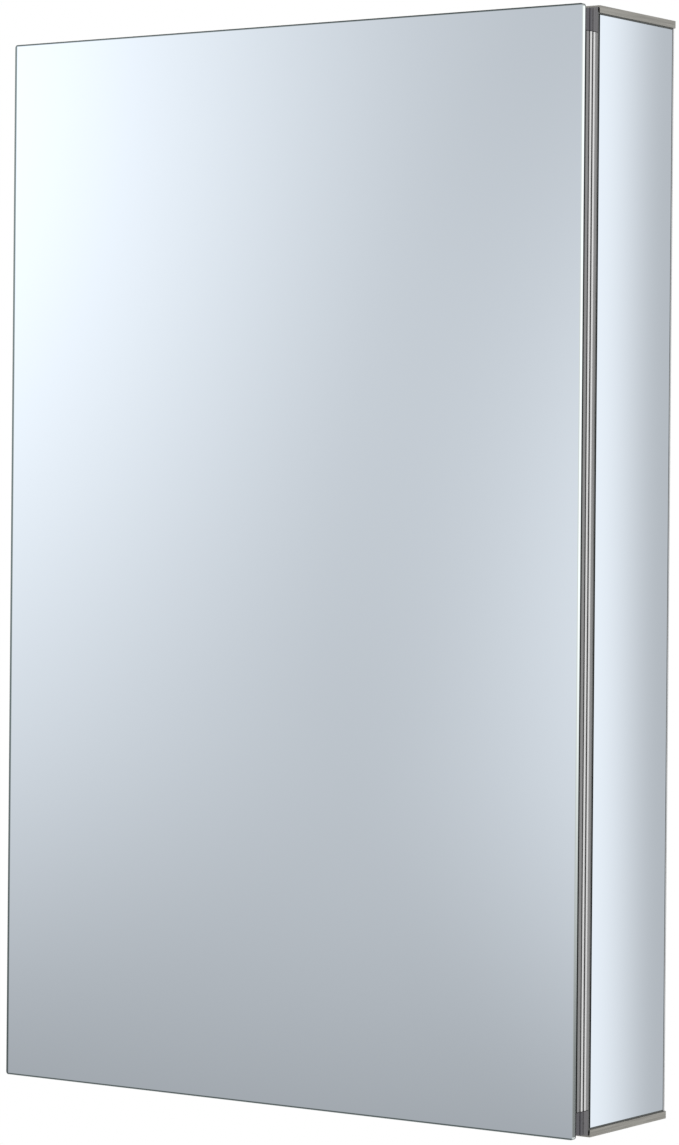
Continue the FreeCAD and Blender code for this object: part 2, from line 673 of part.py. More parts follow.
def pivot_bush():
    """Upper pivot bush: flanged plastic sleeve, closed at the bottom."""
    radius = PIN_R + PIN_FIT
    sleeve = rod((PIVOT_X, PIVOT_Y, RECESS_FLOOR), (0, 0, -1), radius + BUSH_WALL, bush_length())
    flange = rod((PIVOT_X, PIVOT_Y, RECESS_FLOOR), (0, 0, 1), BUSH_FLANGE_R, BUSH_FLANGE)
    hole = rod((PIVOT_X, PIVOT_Y, RECESS_FLOOR + BUSH_FLANGE), (0, 0, -1), radius,
               bush_length() + BUSH_FLANGE - BUSH_BOTTOM)
    return sleeve.fuse(flange).removeSplitter().cut(hole)


# ---------------------------------------------------------------- catches and seal

def catch_screw_y():
    """Depth of the screw that holds a catch housing to the side panel."""
    return LIP_REAR + CATCH_DEPTH - SCREW_HEAD_R


def catch_housing():
    """Upper catch housing: block behind the front lip with a socket for the magnet."""
    z = CATCH_SPREAD
    block = box((WEB_IN_X - CATCH_WIDTH, LIP_REAR, z - CATCH_HEIGHT / 2),
                (WEB_IN_X, LIP_REAR + CATCH_DEPTH, z + CATCH_HEIGHT / 2))
    socket = rod((MAGNET_X, LIP_REAR, z), (0, 1, 0), MAGNET_R, MAGNET_LENGTH - SHEET)
    screw_hole = rod((WEB_IN_X - CATCH_WIDTH, catch_screw_y(), z), (1, 0, 0), SCREW_R, CATCH_WIDTH)
    return block.cut([socket, screw_hole])


def catch_magnet():
    """Upper catch magnet, flush with the front of the lip."""
    return rod((MAGNET_X, BOX_FRONT, CATCH_SPREAD), (0, 1, 0), MAGNET_R, MAGNET_LENGTH)


def catch_screws():
    """The screws of the two catch housings."""
    upper = panel_screw((WEB_IN_X - CATCH_WIDTH, catch_screw_y(), CATCH_SPREAD), (1, 0, 0),
                        CATCH_WIDTH + SHEET)
    return [upper, mirrored(upper, "z")]


def strike_plate():
    """Upper steel disc let into the rear of the right stile, facing the magnet."""
    return rod((MAGNET_X, FRAME_REAR, CATCH_SPREAD), (0, -1, 0), STRIKE_R, STRIKE_THICKNESS)


def stile_right():
    """Right stile, with pockets for the strike plates."""
    plain = mirrored(stile_left(), "x")
    return plain.cut([strike_plate(), mirrored(strike_plate(), "z")])


def seal_right():
    """Seal strip on the front edge of the right side panel."""
    half = HALF_H - SEAL_END_GAP
    return box((WEB_OUT_X - SEAL_WIDTH, BOX_FRONT - SEAL_THICKNESS, -half), (WEB_OUT_X, BOX_FRONT, half))


def seal_left():
    """Seal strip on the left lip, clear of the corner that swings past when the door opens."""
    half = PANEL_UNDER - FLANGE - SEAL_WIDTH
    left = PIVOT_X + SEAL_PIVOT_GAP
    return box((left, BOX_FRONT - SEAL_THICKNESS, -half), (left + SEAL_WIDTH, BOX_FRONT, half))


def seal_top():
    """Seal strip on the front flange of the top panel."""
    low = PANEL_UNDER - FLANGE + SEAL_WIDTH / 2
    left = -WEB_IN_X + PANEL_FIT + HINGE_PLATE_WIDTH
    right = WEB_OUT_X - 2 * SEAL_WIDTH
    return box((left, BOX_FRONT - SEAL_THICKNESS, low), (right, BOX_FRONT, low + SEAL_WIDTH))


# ---------------------------------------------------------------- all the nodes

def nodes():
    """Every sub-part by name, each a solid or a list of separate solids."""
    side = side_panel()
    made = {
        "side_panel_left": mirrored(side, "x"),
        "side_panel_right": catch_side_panel(),
        "top_panel": end_panel(),
        "back_panel": back_panel(),
        "back_mirror": back_mirror(),
        "side_mirror_right": side_mirror(),
        "mirror_bead_right": mirror_bead(),
        "top_trim": trim_tray(),
        "wall_rail_upper": wall_rail(),
        "rail_rivets": rail_rivets(),
        "bracket_screws": bracket_screws(),
        "hinge_bracket_top": hinge_bracket(),
        "hinge_bracket_screws": hinge_bracket_screws(),
        "pivot_pin_top": pivot_pin(),
        "pivot_bush_top": pivot_bush(),
        "catch_housing_upper": catch_housing(),
        "catch_magnet_upper": catch_magnet(),
        "catch_screws": catch_screws(),
        "strike_plate_upper": strike_plate(),
        "door_seal_left": seal_left(),
        "door_seal_right": seal_right(),
        "door_seal_top": seal_top(),
        "front_mirror": front_mirror(),
        "inner_mirror": inner_mirror(),
        "core_strips": core_strips(),
        "door_stile_left": stile_left(),
        "door_stile_right": stile_right(),
        "door_rail_bottom": rail_bottom(),
        "corner_cap_bottom_left": pivot_corner_cap(),
        "corner_cap_bottom_right": mirrored(free_corner_cap(), "x"),
        "cap_screws": cap_screws(),
    }
    made["side_mirror_left"] = mirrored(made["side_mirror_right"], "x")
    made["mirror_bead_left"] = mirrored(made["mirror_bead_right"], "x")
    twins = {
        "top_panel": "bottom_panel",
        "top_trim": "bottom_trim",
        "wall_rail_upper": "wall_rail_lower",
        "hinge_bracket_top": "hinge_bracket_bottom",
        "pivot_pin_top": "pivot_pin_bottom",
        "pivot_bush_top": "pivot_bush_bottom",
        "catch_housing_upper": "catch_housing_lower",
        "catch_magnet_upper": "catch_magnet_lower",
        "strike_plate_upper": "strike_plate_lower",
        "door_seal_top": "door_seal_bottom",
        "door_rail_bottom": "door_rail_top",
        "corner_cap_bottom_left": "corner_cap_top_left",
        "corner_cap_bottom_right": "corner_cap_top_right",
    }
    for name, twin in twins.items():
        made[twin] = mirrored(made[name], "z")
    bracket = corner_bracket()
    made["corner_bracket_top_right"] = bracket
    made["corner_bracket_top_left"] = mirrored(bracket, "x")
    made["corner_bracket_bottom_right"] = mirrored(bracket, "z")
    made["corner_bracket_bottom_left"] = mirrored(mirrored(bracket, "x"), "z")
    for name, pin_z in zip(("upper", "middle", "lower"), shelf_heights()):
        made["glass_shelf_" + name] = glass_shelf(pin_z)
        made["shelf_pins_" + name] = shelf_pins(pin_z)
    return made


def main():
    os.makedirs("parts", exist_ok=True)
    for name, shape in nodes().items():
        if isinstance(shape, list):
            shape = Part.makeCompound(shape)
        if not shape.isValid() or not shape.Solids:
            raise ValueError(name + " is not a valid solid")
        shape.exportStep(os.path.join("parts", name + ".step"))
        print(name, len(shape.Solids), round(shape.Volume))


main()
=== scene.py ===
import math

import bpy
from mathutils import Matrix, Vector


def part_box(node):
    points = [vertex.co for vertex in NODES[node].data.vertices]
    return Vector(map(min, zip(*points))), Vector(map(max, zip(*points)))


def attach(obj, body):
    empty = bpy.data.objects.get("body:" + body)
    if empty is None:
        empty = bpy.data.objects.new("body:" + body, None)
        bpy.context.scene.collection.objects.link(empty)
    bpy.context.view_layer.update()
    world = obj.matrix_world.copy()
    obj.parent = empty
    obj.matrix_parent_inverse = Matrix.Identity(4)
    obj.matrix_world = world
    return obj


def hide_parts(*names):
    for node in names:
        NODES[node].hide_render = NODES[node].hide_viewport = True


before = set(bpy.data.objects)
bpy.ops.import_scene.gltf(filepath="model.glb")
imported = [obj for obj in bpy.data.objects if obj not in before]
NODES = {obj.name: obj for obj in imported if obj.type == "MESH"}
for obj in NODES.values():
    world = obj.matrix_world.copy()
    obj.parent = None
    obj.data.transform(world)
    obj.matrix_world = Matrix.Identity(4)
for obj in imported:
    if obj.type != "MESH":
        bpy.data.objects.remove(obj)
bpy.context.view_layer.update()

# Lengths are in metres. +Z is up, the door faces -Y and the wall is the plane y = 0.

# Camera: stands to the front right, a little above the middle, and looks level
CAMERA_PLACE = Vector((1.599, -2.3713, 0.0486))
CAMERA_AZIMUTH = math.radians(34.59)
CAMERA_LENS = 122.9
CAMERA_SHIFT_Y = -0.066
CAMERA_ROLL = math.radians(0.51)

# Floor
FLOOR_DROP = 3.4
FLOOR_RADIUS = 6.5
FLOOR_SIDES = 96
FLOOR_GREYS = (0.93, 0.96)
FLOOR_CLOUDS = 1.5
FLOOR_ROUGHNESS = 0.85

# Lamps: name, place, size and power. All of them aim at the origin.
LAMPS = (
    ("key", (1.2, -2.2, 2.4), 1.6, 60),
    ("fill", (-2.4, -1.2, 1.2), 2.0, 25),
)

# Room: how bright it is for the camera and for matt surfaces
BACKGROUND = 1.0
FILL = 0.78

# Room as shiny surfaces see it, by direction. Across and up are x and z over the depth |y|.
# A step is (from, to) or (from, to, level before, level after).
LEAST_DEPTH = 0.02
FRONT_UP = (-0.35, -0.07, 0.20, 0.62)
FRONT_CARDS = (                                 # centre and half size, across and up, then gain
    ((-0.91, 0.135), (0.315, 0.345), 0.73),
    ((-0.45, -0.025), (0.25, 0.24), 0.62),
    ((0.09, 0.10), (0.22, 0.24), 0.45),
    ((1.5, 0.0), (1.1, 0.9), 0.12),
)
BACK_ACROSS = (0.573, 0.598, 0.56, 1.0)
BACK_RISE = 0.10
PATCH_START = (0.6000, 0.6015)
PATCH_END = (0.6080, 0.6120, 1.0, 0.0)
PATCH_UP = (-0.19, -0.02, 0.20, 1.15)
DARKEST, BRIGHTEST = 0.05, 1.3
SIDEWAYS = (2.5, 6.0)
SIDEWAYS_Z = (-0.30, 0.30, 0.50, 0.85)
STEEP = (0.40, 0.65)
STEEP_LEVEL = 0.60
OVERHEAD = (0.62, 0.72)
OVERHEAD_Y = (0.14, 0.30, 1.0, 0.0)
OVERHEAD_LEVEL = 0.12
GROUND = (-0.36, -0.175, 1.0, 0.0)
GROUND_LEVEL = 0.88

# Mirrors. Silver stops BARE_ short of the glass edge, and a dark line covers the last part of it,
# as wide as the sealing widths below: partly sealing paint, partly painted shade of the gaps and
# seams beside the glass.
FACE_ON = (0.80, 0.95)                          # how squarely a face looks along its axis
SILVER_TINT = (0.80, 0.872, 0.95, 1.0)
EDGE_TINT = (0.86, 0.93, 0.92, 1.0)
BARE_GLASS_TINT = (0.17, 0.21, 0.21, 1.0)
BARE_END = 0.0014
BARE_SIDE = 0.0026
EDGE_SEAL_AND_SHADE = 0.0010
FRONT_SEAL_AND_SHADE = 0.0011
REAR_SEAL_AND_SHADE = 0.0010
# Tint of the dark lines on mirrors and frame: partly sealing and glue, partly painted shade of gaps
# and seams
SEAL_AND_SHADE_TINT = (0.02, 0.022, 0.022, 1.0)
PAINT_FADE = 0.7
HAZE_SCALE = 9.0
EDGE_HAZE, FACE_HAZE = 0.03, 0.012

# Glass shelves, from the ground edge to the face
SHELF_TINTS = (0.50, 0.78, 0.70, 1), (0.93, 0.98, 0.96, 1)
SHELF_HAZE = (0.5, 0.02)
SHELF_CLEARNESS = (0.45, 0.97)
SHELF_GRIND = 2000.0
GLASS_IOR = 1.5

# Drawn metal
STREAK_DETAIL, STREAK_ROUGHNESS = 4.0, 0.65
STREAK_RANGE = (0.32, 0.68)
STREAK_RELIEF = 0.00001
SIDE_ON = (0.60, 0.80)
METAL_CLOUDS = 14.0
METAL_SPREAD = 0.04
PANEL_COLOUR = (0.62, 0.63, 0.64)

# Door frame: how far the ribs stand above the flat lands, and the dark glue line behind the glass,
# which is partly glue and partly painted shade of the seam
RIB_HEIGHT = 0.0004
RIB_FADE = 0.5
GLUE_AND_SHADE_LINE = 0.0023
GLUE_AND_SHADE_FADE = 0.85
FRAME_GRAIN = (900, 900, 6)
FRAME_RELIEF = 0.000001
# Lands and ribs are one aluminium: the ribs' lighter greys are a painted highlight and the lands'
# darker greys painted shade
LAND_SHADE_GREYS, RIB_HIGHLIGHT_GREYS = (0.29, 0.33), (0.71, 0.77)
LAND_ROUGHNESS, RIB_ROUGHNESS = 0.36, 0.24

# Plastic and rubber
CLOUD_RANGE = (0.3, 0.7)
FINE_GRAIN = 2600.0
FINE_RELIEF = 0.00004
BROAD_GRAIN = 60.0
PLASTIC_SPREAD = 0.05

# Corner caps: half the depth over which painted light makes the plastic lighter toward the rear,
# and its two tints at each side, the front painted in shade and the rear painted lit
LIT_REAR_FADE = 0.0015
CAP_SHADED_FRONT_TINTS = (0.070, 0.068, 0.078, 1), (0.082, 0.079, 0.090, 1)
CAP_LIT_REAR_TINTS = (0.118, 0.115, 0.122, 1), (0.134, 0.130, 0.138, 1)
CAP_ROUGHNESS = (0.38, 0.46)

# Screws. Other than the pitch, lengths are shares of the head's or the shank's radius or height.
HEAD_RINGS = 14
SCREW_SIDES = 48
CROWN_DROP, CROWN_POWER = 0.42, 4
RIM_HEIGHT = 0.15
SEAT_RADIUS = 0.96
RECESS_DEPTH = 0.6
RECESS_ARM, RECESS_HALF_WIDTH, RECESS_WALL = 0.58, 0.15, 0.07
THREAD_PITCH = 0.0007
THREAD_ROOT = 0.82
TIP_RADIUS = 0.35
SHARP_ANGLE = math.radians(35)

# Reading the CAD screws: digits that tell two points apart, where the head begins, and a hair
PLACE_DIGITS = 6
HEAD_SHARE = 0.9
HAIR = 1e-5


# ---------------------------------------------------------------- shader helpers

class Tree:
    """Short ways to add nodes to one node tree."""

    def __init__(self, tree):
        self.tree = tree

    def add(self, kind, inputs=(), **settings):
        node = self.tree.nodes.new("ShaderNode" + kind)
        for key, value in settings.items():
            setattr(node, key, value)
        for key, value in dict(inputs).items():
            self.feed(node.inputs[key], value)
        return node

    def feed(self, socket, value):
        if isinstance(value, bpy.types.NodeSocket):
            self.tree.links.new(value, socket)
        else:
            socket.default_value = value

    def math(self, operation, a, b=0.0):
        return self.add("Math", {0: a, 1: b}, operation=operation).outputs[0]

    def ramp(self, value, low, high, at_low=0.0, at_high=1.0, smooth=True):
        node = self.add("MapRange", {0: value, 1: low, 2: high, 3: at_low, 4: at_high})
        node.interpolation_type = "SMOOTHSTEP" if smooth else "LINEAR"
        return node.outputs[0]

    def near_low(self, value, limit, width, fade):
        """1 near the lower limit and 0 further than width from it.

        fade is the share of width over which it stays 1.
        """
        return self.ramp(value, limit + width * fade, limit + width, 1.0, 0.0)

    def near_high(self, value, limit, width, fade):
        """The same under the upper limit."""
        return self.ramp(value, limit - width, limit - width * fade)

    def mix(self, factor, a, b):
        """a where factor is 0 and b where it is 1, for colours."""
        return self.add("Mix", {0: factor, 6: a, 7: b}, data_type="RGBA").outputs[2]

    def blend(self, factor, a, b):
        """The same for plain numbers."""
        return self.add("Mix", {0: factor, 2: a, 3: b}).outputs[0]

    def parts(self, kind):
        """X, Y and Z of a texture coordinate: Object (in metres), Normal or Generated."""
        place = self.add("TexCoord").outputs[kind]
        return self.add("SeparateXYZ", {0: place}).outputs

    def noise(self, stretch, scale, detail, roughness=0.5):
        """Noise over object coordinates that are stretched by a factor along each axis."""
        place = self.add("TexCoord").outputs["Object"]
        place = self.add("Mapping", {"Vector": place, "Scale": stretch}).outputs[0]
        inputs = {"Vector": place, "Scale": scale, "Detail": detail, "Roughness": roughness}
        return self.add("TexNoise", inputs).outputs[0]

    def even_noise(self, scale, detail):
        return self.noise((1, 1, 1), scale, detail)

    def bump(self, height, distance, strength):
        inputs = {"Height": height, "Distance": distance, "Strength": strength}
        return self.add("Bump", inputs).outputs[0]


def new_material(name):
    material = bpy.data.materials.new(name)
    material.use_nodes = True
    return material, Tree(material.node_tree), material.node_tree.nodes["Principled BSDF"]


def grey(value):
    return (value, value, value, 1.0)


def shades(colour, share):
    """A colour made darker and lighter by a share of itself."""
    dark = tuple(c * (1 - share) for c in colour) + (1.0,)
    light = tuple(min(c * (1 + share), 1.0) for c in colour) + (1.0,)
    return dark, light


# ---------------------------------------------------------------- materials

def mirror_glass(name, axis):
    """Silvered glass: a mirror across its axis (0 for X, 1 for Y), with a polished edge all round.

    Returns the material, its tree, its shader and the colour it has so far.
    """
    material, tree, shader = new_material(name)
    facing = tree.math("ABSOLUTE", tree.parts("Normal")[axis])
    colour = tree.mix(tree.ramp(facing, *FACE_ON), EDGE_TINT, SILVER_TINT)
    tree.feed(shader.inputs["Base Color"], colour)
    shader.inputs["Metallic"].default_value = 1.0
    haze = tree.even_noise(HAZE_SCALE, 3.0)
    most = tree.ramp(facing, *FACE_ON, EDGE_HAZE, FACE_HAZE)
    tree.feed(shader.inputs["Roughness"], tree.math("MULTIPLY", haze, most))
    return material, tree, shader, colour


def plain_mirror(name, axis):
    return mirror_glass(name, axis)[0]


def door_mirror(name):
    """The silver stops short of the ends and the hinge side. A dark line along the rear edge is
    partly sealing paint and partly painted shade of the seam between the glass and the frame.
    """
    material, tree, shader, colour = mirror_glass(name, 1)
    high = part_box("front_mirror")[1]
    x, y, z = tree.parts("Object")
    end = tree.math("ABSOLUTE", z)
    hinge_side = tree.math("MULTIPLY", x, -1.0)
    bare = tree.math("MAXIMUM", tree.near_high(end, high.z, BARE_END, PAINT_FADE),
                     tree.near_high(hinge_side, high.x, BARE_SIDE, PAINT_FADE))
    # painted shade: the dark rear edge line stands partly for the shadow in the seam behind the
    # glass
    sealed_and_shaded = tree.near_high(y, high.y, EDGE_SEAL_AND_SHADE, PAINT_FADE)
    colour = tree.mix(sealed_and_shaded, tree.mix(bare, colour, BARE_GLASS_TINT), SEAL_AND_SHADE_TINT)
    tree.feed(shader.inputs["Base Color"], colour)
    return material


def side_mirror(name):
    """A dark line along the front and the rear edge is partly sealing of the silver and partly
    painted shade of the gaps there.
    """
    material, tree, shader, colour = mirror_glass(name, 0)
    low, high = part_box("side_mirror_right")
    depth = tree.parts("Object")[1]
    # painted shade: the dark front and rear lines stand partly for the shadows in the gaps there
    front = tree.near_low(depth, low.y, FRONT_SEAL_AND_SHADE, PAINT_FADE)
    rear = tree.near_high(depth, high.y, REAR_SEAL_AND_SHADE, PAINT_FADE)
    sealed_and_shaded = tree.math("MAXIMUM", front, rear)
    tree.feed(shader.inputs["Base Color"], tree.mix(sealed_and_shaded, colour, SEAL_AND_SHADE_TINT))
    return material


def drawn_metal(name, colour, grain, roughness, contrast, side_grain=None):
    """Metal with fine streaks. grain is how fast they change along X, Y and Z, per metre.

    side_grain, if given, is the same for the faces that look along X.
    """
    material, tree, shader = new_material(name)
    noise = tree.noise(grain, 1.0, STREAK_DETAIL, STREAK_ROUGHNESS)
    if side_grain:
        sideways = tree.ramp(tree.math("ABSOLUTE", tree.parts("Normal")[0]), *SIDE_ON)
        side = tree.noise(side_grain, 1.0, STREAK_DETAIL, STREAK_ROUGHNESS)
        noise = tree.blend(sideways, noise, side)
    streaks = tree.ramp(noise, *STREAK_RANGE)
    clouds = tree.even_noise(METAL_CLOUDS, 2.0)
    dull = tree.ramp(clouds, *CLOUD_RANGE, roughness - METAL_SPREAD, roughness + METAL_SPREAD)
    tree.feed(shader.inputs["Base Color"], tree.mix(streaks, *shades(colour, contrast)))
    shader.inputs["Metallic"].default_value = 1.0
    tree.feed(shader.inputs["Roughness"], dull)
    tree.feed(shader.inputs["Normal"], tree.bump(streaks, STREAK_RELIEF, 0.5))
    return material


def ribbed_frame(name):
    """Satin anodised section with polished ribs whose lighter greys are a painted highlight, lands
    whose darker greys are painted shade, and a dark line along its front edge that is partly
    adhesive and partly painted shade of the seam.
    """
    material, tree, shader = new_material(name)
    low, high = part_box("door_stile_right")
    rail_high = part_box("door_rail_top")[1]
    x, y, z = tree.parts("Object")
    rib = tree.math("MAXIMUM",
                    tree.near_high(tree.math("ABSOLUTE", x), high.x, RIB_HEIGHT, RIB_FADE),
                    tree.near_high(tree.math("ABSOLUTE", z), rail_high.z, RIB_HEIGHT, RIB_FADE))
    grain = tree.noise(FRAME_GRAIN, 1.0, 1.0)
    # painted shade on the lands and painted highlight on the ribs
    land_shaded_colour = tree.mix(grain, *map(grey, LAND_SHADE_GREYS))
    rib_highlight_colour = tree.mix(grain, *map(grey, RIB_HIGHLIGHT_GREYS))
    # dark front-edge line: partly glue, partly painted shade of the seam
    glue_and_shade = tree.near_low(y, low.y, GLUE_AND_SHADE_LINE, GLUE_AND_SHADE_FADE)
    colour = tree.mix(glue_and_shade, tree.mix(rib, land_shaded_colour, rib_highlight_colour), SEAL_AND_SHADE_TINT)
    tree.feed(shader.inputs["Base Color"], colour)
    shader.inputs["Metallic"].default_value = 1.0
    dull = tree.ramp(rib, 0, 1, LAND_ROUGHNESS, RIB_ROUGHNESS)
    tree.feed(shader.inputs["Roughness"], dull)
    tree.feed(shader.inputs["Normal"], tree.bump(grain, FRAME_RELIEF, 0.3))
    return material


def moulded(name, colour, roughness, speckle, relief=FINE_RELIEF, grain=FINE_GRAIN):
    """Moulded plastic, rubber or foam with a fine grain."""
    material, tree, shader = new_material(name)
    fine = tree.even_noise(grain, 2.0)
    broad = tree.even_noise(BROAD_GRAIN, 3.0)
    both = tree.math("MULTIPLY", tree.math("ADD", fine, broad), 0.5)
    dull = tree.ramp(broad, *CLOUD_RANGE, roughness - PLASTIC_SPREAD, roughness + PLASTIC_SPREAD)
    tree.feed(shader.inputs["Base Color"], tree.mix(both, *shades(colour, speckle)))
    tree.feed(shader.inputs["Roughness"], dull)
    tree.feed(shader.inputs["Normal"], tree.bump(fine, relief, 0.6))
    return material


def corner_plastic(name):
    """Dark plastic of the door's corner caps, with painted light making the rear half of their
    depth a little lighter.
    """
    material, tree, shader = new_material(name)
    low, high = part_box("corner_cap_top_right")
    depth = tree.parts("Object")[1]
    middle = (low.y + high.y) / 2
    # painted light: the rear half of the cap is painted lighter
    lit_rear = tree.ramp(depth, middle - LIT_REAR_FADE, middle + LIT_REAR_FADE)
    speck = tree.even_noise(FINE_GRAIN, 2.0)
    front, rear = tree.mix(speck, *CAP_SHADED_FRONT_TINTS), tree.mix(speck, *CAP_LIT_REAR_TINTS)
    tree.feed(shader.inputs["Base Color"], tree.mix(lit_rear, front, rear))
    tree.feed(shader.inputs["Roughness"], tree.ramp(speck, *CLOUD_RANGE, *CAP_ROUGHNESS))
    tree.feed(shader.inputs["Normal"], tree.bump(speck, FINE_RELIEF, 0.6))
    return material


def shelf_glass(name):
    """Clear glass shelf, a little green at its ground edges."""
    material, tree, shader = new_material(name)
    up = tree.math("ABSOLUTE", tree.parts("Normal")[2])
    face = tree.ramp(up, *FACE_ON)
    grind = tree.even_noise(SHELF_GRIND, 2.0)
    most = tree.ramp(up, *FACE_ON, *SHELF_HAZE)
    tree.feed(shader.inputs["Base Color"], tree.mix(face, *SHELF_TINTS))
    tree.feed(shader.inputs["Roughness"], tree.math("MULTIPLY", grind, most))
    tree.feed(shader.inputs["Transmission Weight"], tree.ramp(up, *FACE_ON, *SHELF_CLEARNESS))
    shader.inputs["IOR"].default_value = GLASS_IOR
    return material


MATERIALS = {
    "door_mirror": door_mirror("door_mirror"),
    "side_mirror": side_mirror("side_mirror"),
    "inner_mirror": plain_mirror("inner_mirror", 1),
    "frame": ribbed_frame("frame_aluminium"),
    "panel": drawn_metal("panel_aluminium", PANEL_COLOUR, grain=(900, 900, 12),
                         roughness=0.38, contrast=0.06),
    "panel_end": drawn_metal("panel_end_aluminium", PANEL_COLOUR, grain=(12, 900, 900),
                             roughness=0.38, contrast=0.06),
    "rail": drawn_metal("rail_aluminium", (0.55, 0.56, 0.57), grain=(8, 700, 700),
                        roughness=0.36, contrast=0.10),
    "trim": drawn_metal("brushed_trim", (0.37, 0.36, 0.33), grain=(10, 900, 900),
                        roughness=0.34, contrast=0.16, side_grain=(16, 16, 800)),
    "zinc": drawn_metal("zinc_steel", (0.55, 0.56, 0.58), grain=(260, 260, 260),
                        roughness=0.34, contrast=0.12),
    "nickel": drawn_metal("magnet_nickel", (0.66, 0.64, 0.60), grain=(500, 500, 500),
                          roughness=0.22, contrast=0.06),
    "pin": drawn_metal("pin_steel", (0.60, 0.60, 0.60), grain=(900, 900, 900),
                       roughness=0.20, contrast=0.06),
    "cap": corner_plastic("cap_plastic"),
    "catch": moulded("catch_plastic", (0.72, 0.72, 0.71), roughness=0.45, speckle=0.04),
    "bush": moulded("bush_plastic", (0.55, 0.54, 0.50), roughness=0.40, speckle=0.04),
    "seal": moulded("seal_rubber", (0.055, 0.058, 0.055), roughness=0.62, speckle=0.15,
                    relief=0.00008, grain=1500.0),
    "bead": moulded("bead_rubber", (0.15, 0.155, 0.15), roughness=0.60, speckle=0.12,
                    relief=0.00008, grain=1500.0),
    "foam": moulded("core_foam", (0.82, 0.82, 0.80), roughness=0.85, speckle=0.06,
                    relief=0.0003, grain=900.0),
    "glass": shelf_glass("shelf_glass"),
}

# How the names of the CAD nodes begin that wear each material
NODE_FINISH = {
    "door_mirror": ("front_mirror",),
    "side_mirror": ("side_mirror",),
    "inner_mirror": ("inner_mirror", "back_mirror"),
    "frame": ("door_stile", "door_rail"),
    "panel": ("side_panel", "back_panel"),
    "panel_end": ("top_panel", "bottom_panel"),
    "rail": ("wall_rail",),
    "trim": ("top_trim", "bottom_trim"),
    "zinc": ("bracket_screws", "corner_bracket", "hinge_bracket", "catch_screws", "cap_screws",
             "strike_plate", "rail_rivets"),
    "nickel": ("catch_magnet",),
    "pin": ("pivot_pin", "shelf_pins"),
    "cap": ("corner_cap",),
    "catch": ("catch_housing",),
    "bush": ("pivot_bush",),
    "seal": ("door_seal",),
    "bead": ("mirror_bead",),
    "foam": ("core_strips",),
    "glass": ("glass_shelf",),
}

for finish, starts in NODE_FINISH.items():
    for name, node in NODES.items():
        if name.startswith(starts):
            node.data.materials.clear()
            node.data.materials.append(MATERIALS[finish])


# ---------------------------------------------------------------- screws

def solids_of(node):
    """Vertex places of each separate solid in a CAD node."""
    mesh = NODES[node].data
    key = [tuple(round(c, PLACE_DIGITS) for c in vertex.co) for vertex in mesh.vertices]
    group = {}

    def root(k):
        while group.setdefault(k, k) != k:
            k = group[k]
        return k

    for polygon in mesh.polygons:
        corners = [root(key[i]) for i in polygon.vertices]
        for corner in corners[1:]:
            group[corner] = corners[0]
    found = {}
    for k in set(key):
        found.setdefault(root(k), []).append(Vector(k))
    return [found[k] for k in sorted(found)]


def screw_sizes(points):
    """Seat centre, direction of the head, head radius and height, shank radius and length."""
    low = Vector(min(p[i] for p in points) for i in range(3))
    high = Vector(max(p[i] for p in points) for i in range(3))
    size = high - low
    axis = min(range(3), key=lambda i: abs(size[(i + 1) % 3] - size[(i + 2) % 3]))
    centre = (low + high) / 2

    def radius(point):
        away = point - centre
        away[axis] = 0
        return away.length

    head_radius = max(radius(p) for p in points)
    head = [p[axis] for p in points if radius(p) > HEAD_SHARE * head_radius]
    at_high = high[axis] - max(head) < min(head) - low[axis]
    seat = min(head) if at_high else max(head)
    tip = low[axis] if at_high else high[axis]
    shank_radius = max(radius(p) for p in points if abs(p[axis] - tip) < HAIR)
    direction = Vector((0, 0, 0))
    direction[axis] = 1 if at_high else -1
    centre[axis] = seat
    return centre, direction, head_radius, max(head) - min(head), shank_radius, abs(seat - tip)


def recess_depth(u, v, radius):
    """Depth, from 0 to 1, of a cross recess in a screw head, at (u, v) from its middle."""
    def inside(value, limit):
        return max(0.0, min(1.0, (limit - abs(value)) / (RECESS_WALL * radius)))

    arm, width = RECESS_ARM * radius, RECESS_HALF_WIDTH * radius
    return max(inside(u, arm) * inside(v, width), inside(v, arm) * inside(u, width))


def screw(vertices, faces, points):
    """Adds a screw with a crowned head, a cross recess and a threaded shank."""
    centre, direction, head_r, head_h, shank_r, length = screw_sizes(points)
    turn = direction.to_track_quat("Z", "Y").to_matrix()
    first = len(vertices)

    def put(u, v, w):
        vertices.append(centre + turn @ Vector((u, v, w)))

    def ring_start(i):
        return first + 1 + i * SCREW_SIDES

    rings = []                                  # radius, height and whether the recess cuts it
    for i in range(1, HEAD_RINGS + 1):
        share = i / HEAD_RINGS
        rings.append((head_r * share, head_h * (1 - CROWN_DROP * share ** CROWN_POWER), True))
    rings.append((head_r, head_h * RIM_HEIGHT, False))
    rings.append((head_r * SEAT_RADIUS, 0.0, False))
    rings.append((shank_r, 0.0, False))
    for i in range(int((length - shank_r) / THREAD_PITCH)):
        rings.append((shank_r * THREAD_ROOT, -(i + 0.5) * THREAD_PITCH, False))
        rings.append((shank_r, -(i + 1) * THREAD_PITCH, False))
    rings.append((shank_r * TIP_RADIUS, -length, False))
    put(0, 0, head_h - RECESS_DEPTH * head_h)
    for radius, height, recessed in rings:
        for k in range(SCREW_SIDES):
            angle = 2 * math.pi * k / SCREW_SIDES
            u, v = radius * math.cos(angle), radius * math.sin(angle)
            drop = RECESS_DEPTH * head_h * recess_depth(u, v, head_r) if recessed else 0.0
            put(u, v, height - drop)
    put(0, 0, -length)
    last, tip = ring_start(len(rings) - 1), ring_start(len(rings))
    for k in range(SCREW_SIDES):
        after = (k + 1) % SCREW_SIDES
        faces.append((first, ring_start(0) + k, ring_start(0) + after))
        for i in range(len(rings) - 1):
            a, b = ring_start(i), ring_start(i + 1)
            faces.append((a + k, b + k, b + after, a + after))
        faces.append((last + k, tip, last + after))


